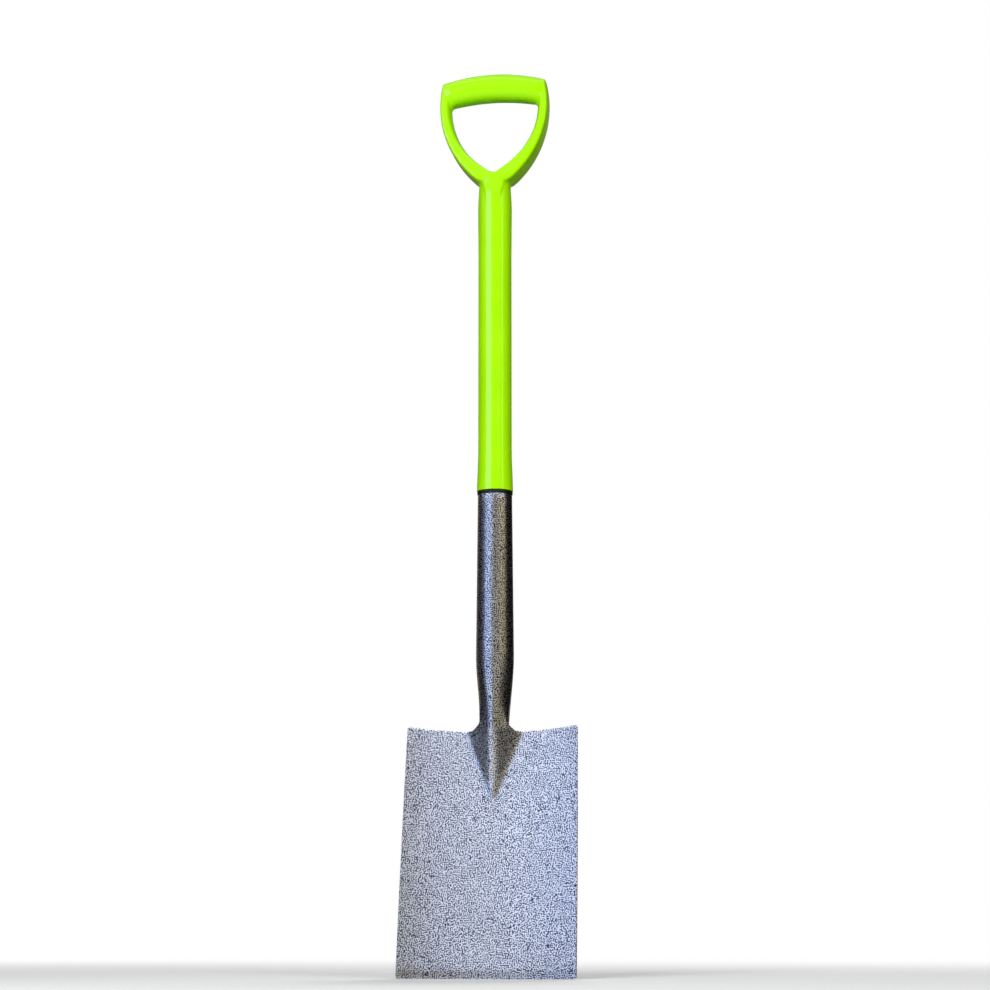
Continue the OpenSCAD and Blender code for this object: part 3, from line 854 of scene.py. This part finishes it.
# %% Loop of the D
bar_depth = 30
arm_depth = 27
fork_depth = 35
bar_power = 0.8
arm_power = 0.42
fork_power = 0.3
inner_power = 1.2
arm_starts = 0.6
arm_ends = 2.0
loop_sides = 56
stretch = np.concatenate(
    [[0]] + [k + np.linspace(0, 1, n + 1)[1:] for k, n in enumerate(steps.values())]
)
arm_share = ease((stretch - arm_starts) / (arm_ends - arm_starts))
fork_share = ease(stretch - arm_ends)
depth = mix(mix(bar_depth, arm_depth, arm_share), fork_depth, fork_share)
power = mix(mix(bar_power, arm_power, arm_share), fork_power, fork_share)
turn = np.linspace(0, 2 * math.pi, loop_sides, endpoint=False)
inner_share = arm_share * (1 - fork_share)
inside = mix(power, inner_power, inner_share)
section_power = np.where(np.cos(turn)[None, :] < 0, inside[:, None], power[:, None])
across = (1 + signed_power(np.cos(turn)[None, :], section_power)) / 2
out_of_plane = depth[:, None] / 2 * signed_power(np.sin(turn)[None, :], section_power)
flat_x = mix(inner[:, :1], outer[:, :1], across)
flat_z = mix(inner[:, 1:], outer[:, 1:], across)
half_loop = np.stack([flat_x, shaft_y + out_of_plane, flat_z], -1)
loop_rings = np.concatenate([half_loop, half_loop[-2:0:-1] * [-1, 1, 1]])
loop_form = make_piece("grip_loop_form", *skin(loop_rings, loop=True))
print("loop of the D:", len(loop_form.data.polygons), "faces")

# %% Neck of the grip
neck_over = 8
root_below = 3
root_inset = 0.5
root_low = fork_z - root_l
root_high = opening_low - root_below
root_narrowing = 0.4
panel_l = 34
panel_low_half = 4
panel_high_half = 12
panel_edge = 2.5
panel_h = 1.4


def root_ring(z, sides=192):
    """Ring of the neck. The fronts of the arms run down it as a panel that fades out."""
    k = ease((z - root_low) / (root_high - root_low))
    r = mix(sleeve_r, neck_r, np.clip((z - sleeve_top) / (root_low - sleeve_top), 0, 1))
    narrow = 1 - root_narrowing * ease((z - fork_z) / (root_high - fork_z))
    power = mix(1, bar_power, k)
    angle = np.linspace(0, 2 * math.pi, sides, endpoint=False)
    fade = np.clip((z - fork_z + panel_l) / panel_l, 0, 1)
    panel_half = mix(panel_low_half, panel_high_half, fade)
    beside = ease((np.abs(r * np.cos(angle)) - panel_half) / panel_edge)
    r = r - panel_h * ease(fade) * beside
    x = r * narrow * signed_power(np.cos(angle), power)
    y = shaft_y + mix(r, fork_depth / 2 - root_inset, k) * signed_power(np.sin(angle), power)
    return np.stack([x, y, np.full(sides, z)], 1)


neck_heights = np.linspace(sleeve_top - neck_over, root_high, 90)
neck_form = make_piece("grip_neck_form", *skin([root_ring(z) for z in neck_heights]))
print("neck:", len(neck_form.data.polygons), "faces")

# %% [markdown]
# ## One moulding from loop and neck
# A boolean union would leave a hard crease where the arms run into the neck, and the moulding
# has a soft fillet there. So the two lofts are joined by a voxel remesh. Its points are then
# pulled back onto the lofts wherever these are clear of each other, which keeps the sections
# crisp, and are smoothed only at the fork. At the end the neck is trimmed where the sleeve
# ends, and the screw gets its hole.

# %% Join loop and neck
voxel = 0.9
grip = make_piece("grip_moulding", [], [])
bm = bmesh.new()
bm.from_mesh(loop_form.data)
bm.from_mesh(neck_form.data)
bm.to_mesh(grip.data)
bm.free()
remesh = grip.modifiers.new("join", "REMESH")
remesh.mode = "VOXEL"
remesh.voxel_size = voxel * MM
joined = bpy.data.meshes.new_from_object(
    grip.evaluated_get(bpy.context.evaluated_depsgraph_get())
)
grip.modifiers.clear()
grip.data = joined
print("joined grip:", len(joined.vertices), "points")

# %% Fillet the fork
fillet_core = 1.0
fillet_reach = 9.0
graph = bpy.context.evaluated_depsgraph_get()
loop_tree = BVHTree.FromObject(loop_form, graph)
neck_tree = BVHTree.FromObject(neck_form, graph)
fork_group = grip.vertex_groups.new(name="fork")
for vertex in joined.vertices:
    to_loop = loop_tree.find_nearest(vertex.co)
    to_neck = neck_tree.find_nearest(vertex.co)
    near, far = sorted((to_loop, to_neck), key=lambda hit: hit[3])
    weight = float(1 - ease((far[3] / MM - fillet_core) / fillet_reach))
    vertex.co = vertex.co.lerp(near[0], 1 - weight)
    fork_group.add([vertex.index], weight, "REPLACE")
fillet = grip.modifiers.new("fork fillet", "SMOOTH")
fillet.vertex_group = "fork"
fillet.factor = 0.5
fillet.iterations = 60
settling = grip.modifiers.new("even skin", "SMOOTH")
settling.factor = 0.3
settling.iterations = 2
filleted = bpy.data.meshes.new_from_object(
    grip.evaluated_get(bpy.context.evaluated_depsgraph_get())
)
grip.modifiers.clear()
grip.data = filleted
for form in (loop_form, neck_form):
    bpy.data.objects.remove(form)
print("filleted grip:", len(filleted.polygons), "faces")

# %% Trim the neck and sink the screw hole
bm = bmesh.new()
bm.from_mesh(filleted)
whole = list(bm.verts) + list(bm.edges) + list(bm.faces)
cut = bmesh.ops.bisect_plane(
    bm,
    geom=whole,
    plane_co=(0, 0, sleeve_top * MM),
    plane_no=(0, 0, 1),
    clear_inner=True,
)
rim = [item for item in cut["geom_cut"] if isinstance(item, bmesh.types.BMEdge)]
bmesh.ops.contextual_create(bm, geom=rim)
bm.to_mesh(filleted)
bm.free()
hole_r = screw_head_r + slide_gap
hole_end = 30.0
hole_profile = [(hole_r, screw_seat), (hole_r, hole_end)]
hole = make_piece("screw_hole", *skin(laid_back(hole_profile, screw_z)))
sink = grip.modifiers.new("screw hole", "BOOLEAN")
sink.operation = "DIFFERENCE"
sink.object = hole
drilled = bpy.data.meshes.new_from_object(
    grip.evaluated_get(bpy.context.evaluated_depsgraph_get())
)
grip.modifiers.clear()
grip.data = drilled
bpy.data.objects.remove(hole)
drilled.shade_smooth()
drilled.set_sharp_from_angle(angle=sharp_angle)
settle(grip, "grip", lime_plastic)

# %% [markdown]
# ## Shaft tube
# The steel tube inside is hidden by the sleeve and the socket, and its CAD shape is already
# right: a plain tube. It stays as it is and only takes its finish.

# %% Finish of the shaft tube
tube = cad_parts["shaft_tube"]
for material_slot in tube.material_slots:
    material_slot.material = drawn_steel
print("shaft tube keeps its CAD shape, finish:", drawn_steel.name)

# %% [markdown]
# ## Camera
# The camera stands low in front of the spade and looks up at it, a little from the right,
# with a long lens. Its distance and focal length were worked out from the taper of the shaft
# and the widths of blade and grip.

# %% Place the camera
look_height = 0.529
look_at = Vector((0, shaft_y * MM, look_height))
camera_distance = 2.7
camera_azimuth = math.radians(8.5)
camera_rise = math.radians(10.3)
focal_px = 2418
image_px = 990

forward = Vector(
    (
        -math.sin(camera_azimuth) * math.cos(camera_rise),
        math.cos(camera_azimuth) * math.cos(camera_rise),
        math.sin(camera_rise),
    )
)
camera_data = bpy.data.cameras.new("camera")
camera_data.sensor_width = 36
camera_data.lens = focal_px / image_px * camera_data.sensor_width
camera = bpy.data.objects.new("camera", camera_data)
camera.location = look_at - forward * camera_distance
camera.rotation_euler = forward.to_track_quat("-Z", "Y").to_euler()
bpy.context.scene.collection.objects.link(camera)
bpy.context.scene.camera = camera
print("camera at", [round(c, 3) for c in camera.location])

# %% [markdown]
# ## Studio
# A pale floor carries the shadow and fades to white with distance, so no horizon shows. For
# the light that it throws back up it counts as a darker grey, so that it doesn't wash out the
# spade from below. The world is white where the camera, a mirror or glass looks at it, and
# only a dim sky to matt surfaces, so a white background adds no light to the spade.

# %% Floor
def looked_at(tree):
    """Socket that is 1 for rays from the camera and those that a mirror or glass sends on."""
    path = add(tree, "LightPath").outputs
    eye = add(tree, "Math", {0: path["Is Camera Ray"], 1: path["Is Glossy Ray"]}, operation="MAXIMUM")
    both = {0: eye.outputs[0], 1: path["Is Transmission Ray"]}
    return add(tree, "Math", both, operation="MAXIMUM").outputs[0]


floor_mesh = bpy.data.meshes.new("floor")
reach = 40
fade_near = 0.5
fade_far = 2.2
floor_mesh.from_pydata(
    [(-reach, -reach, 0), (reach, -reach, 0), (reach, reach, 0), (-reach, reach, 0)],
    [],
    [(0, 1, 2, 3)],
)
floor = bpy.data.objects.new("floor", floor_mesh)
bpy.context.scene.collection.objects.link(floor)
floor_finish, tree, shader, place = new_finish("pale_floor")
shader.inputs["Base Color"].default_value = linear("#ECECEA")
shader.inputs["Roughness"].default_value = 0.8
shader.inputs["Specular IOR Level"].default_value = 0.0
distance = add(tree, "VectorMath", {0: place}, operation="LENGTH")
fade = add(
    tree,
    "MapRange",
    {"Value": distance.outputs["Value"], "From Min": fade_near, "From Max": fade_far},
    interpolation_type="SMOOTHSTEP",
)
faded = add(tree, "Math", {0: fade.outputs["Result"], 1: looked_at(tree)}, operation="MULTIPLY")
white = add(tree, "Emission", {"Color": (1, 1, 1, 1), "Strength": 1.0})
dark_bounce = add(tree, "BsdfDiffuse", {"Color": linear("#6E6E6C")})
bounced = add(tree, "LightPath").outputs["Is Diffuse Ray"]
carried = add(tree, "MixShader", {0: bounced, 1: shader.outputs[0], 2: dark_bounce.outputs[0]})
blend = add(tree, "MixShader", {0: faded.outputs[0], 1: carried.outputs[0], 2: white.outputs[0]})
output = tree.nodes["Material Output"]
tree.links.new(blend.outputs[0], output.inputs["Surface"])
floor_mesh.materials.append(floor_finish)
print(f"floor fades to white from {fade_near} to {fade_far} m")

# %% World
world = bpy.data.worlds.new("studio")
bpy.context.scene.world = world
world.use_nodes = True
tree = world.node_tree
tree.nodes.clear()
ambient = add(tree, "Background", {"Color": (0.95, 0.98, 1.0, 1), "Strength": 0.22})
white = add(tree, "Background", {"Color": (1, 1, 1, 1), "Strength": 1.0})
either = add(tree, "MixShader", {0: looked_at(tree), 1: ambient.outputs[0], 2: white.outputs[0]})
add(tree, "OutputWorld", {"Surface": either.outputs[0]})
print("world:", world.name)

# %% [markdown]
# ## Lamps
# Three softboxes light the spade evenly: a key light from the left, a fill from the right and
# a light behind for the back. They stay out of reflections, because what the coat mirrors is
# set by the cards below. Two strips do the opposite. They give the glossy plastic its cool
# streak on the left and a faint warm one on the right, and are linked to the plastic alone.

# %% Lamps
def softbox(name, bearing, distance, height, size, power, colour, aim=0.55):
    """Area lamp at a bearing from the camera's side of the spade, in degrees, positive right."""
    angle = camera_azimuth + math.radians(bearing)
    lamp = bpy.data.lights.new(name, "AREA")
    lamp.shape = "RECTANGLE"
    lamp.size, lamp.size_y = size
    lamp.energy = power
    lamp.color = linear(colour)[:3]
    box = bpy.data.objects.new(name, lamp)
    box.location = (distance * math.sin(angle), -distance * math.cos(angle), height)
    aim_at = Vector((0, shaft_y * MM, aim))
    box.rotation_euler = (aim_at - box.location).to_track_quat("-Z", "Y").to_euler()
    box.visible_camera = False
    bpy.context.scene.collection.objects.link(box)
    return box


key = softbox("key", -24, 2.1, 1.15, (1.0, 1.0), 36, "#FBFCFF")
front_fill = softbox("front_fill", 26, 2.8, 1.1, (1.2, 1.0), 30, "#FFFFFF")
back_light = softbox("back_light", 165, 2.2, 1.9, (1.6, 1.2), 40, "#FFFFFF")
for lamp in (key, front_fill, back_light):
    lamp.visible_glossy = False
cool_strip = softbox("cool_strip", -46, 4.0, 1.75, (2.7, 1.5), 138, "#C4DCFF", aim=0.8)
warm_strip = softbox("warm_strip", 52, 4.0, 1.75, (0.5, 1.5), 26, "#FFE9A0", aim=0.8)
lime_pieces = bpy.data.collections.new("lime_pieces")
for piece in (sleeve, grip):
    lime_pieces.objects.link(piece)
for lamp in (cool_strip, warm_strip):
    lamp.visible_diffuse = False
    lamp.light_linking.receiver_collection = lime_pieces
print("lamps:", len(bpy.data.lights))

# %% [markdown]
# ## Cards for the reflections
# Metal looks like what it mirrors, and a white studio would leave it pale and flat. So cards
# that only reflections see stand round the spade. Dark ones at the sides draw the dark edges
# of the tube, a pale blue window on the left its bright streak, and a dim one in front its
# olive middle. A pale sky above, with a bright line overhead, fills the dished blade. Brown
# and dark cards behind the spade and on the floor keep its edges from going white.

# %% Build the cards
card_distance = 9.0
middle_height = 0.5
ground_near = 0.4
ground_lift = 0.002
sky = "#E0E9FF"
sky_strength = 1.07


def card(name, bearings, rises, colour, strength=1.0, steps=24):
    """Curved card that only reflections see, between bearings and angles of rise.
    With a rise of None it lies on the floor, from near the spade out to the other cards."""
    turn = camera_azimuth + np.radians(np.linspace(*bearings, steps + 1))
    ring = np.stack([np.sin(turn), -np.cos(turn)], 1)
    if rises is None:
        levels = [(ground_near, ground_lift), (card_distance, ground_lift)]
    else:
        levels = [
            (card_distance, max(0.0, middle_height + card_distance * math.tan(math.radians(a))))
            for a in rises
        ]
    points = [(r * x, r * y, z) for r, z in levels for x, y in ring]
    faces = [(i, i + 1, steps + 2 + i, steps + 1 + i) for i in range(steps)]
    mesh = bpy.data.meshes.new(name)
    mesh.from_pydata(points, [], faces)
    piece = bpy.data.objects.new(name, mesh)
    bpy.context.scene.collection.objects.link(piece)
    finish = bpy.data.materials.new(name)
    finish.use_nodes = True
    finish.node_tree.nodes.clear()
    glow = add(finish.node_tree, "Emission", {"Color": linear(colour), "Strength": strength})
    add(finish.node_tree, "OutputMaterial", {"Surface": glow.outputs[0]})
    mesh.materials.append(finish)
    piece.visible_camera = False
    piece.visible_diffuse = False
    piece.visible_shadow = False
    piece.visible_transmission = False
    piece.visible_volume_scatter = False


card("dark_left", (-136, -100), (-9, 45), "#222126")
card("shade_left", (-100, -67), (-9, 24), "#120E14")
card("dark_right", (72, 150), (-9, 45), "#0C0B0B")
card("window_left", (-67, -21), (-9, 18), "#B2C8FA")
card("dim_front", (-21, 28), (-9, 20), "#746218")
card("warm_right", (28, 72), (7, 20), "#C8B480")
card("low_right", (28, 72), (-9, 7), "#241F1C")
card("sky_left", (-100, -21), (18, 57), sky, sky_strength)
card("sky_front", (-21, 28), (20, 57), sky, sky_strength)
card("sky_right", (28, 72), (20, 57), sky, sky_strength)
card("roof_line", (-70, 70), (57, 66), "#FFFFFF", 7.0)
card("brown_behind", (150, 224), (-9, 45), "#7E7260")
card("ground_left", (-120, -76), None, "#1A1A1E")
card("ground_right", (40, 132), None, "#26221C")
card("ground_behind", (132, 240), None, "#6A6256")
print("cards stand", card_distance, "m away")

# %% [markdown]
# ## View transform
# The view transform is set to Standard so that colours come out as written.

# %% Finish
bpy.context.scene.view_settings.view_transform = "Standard"
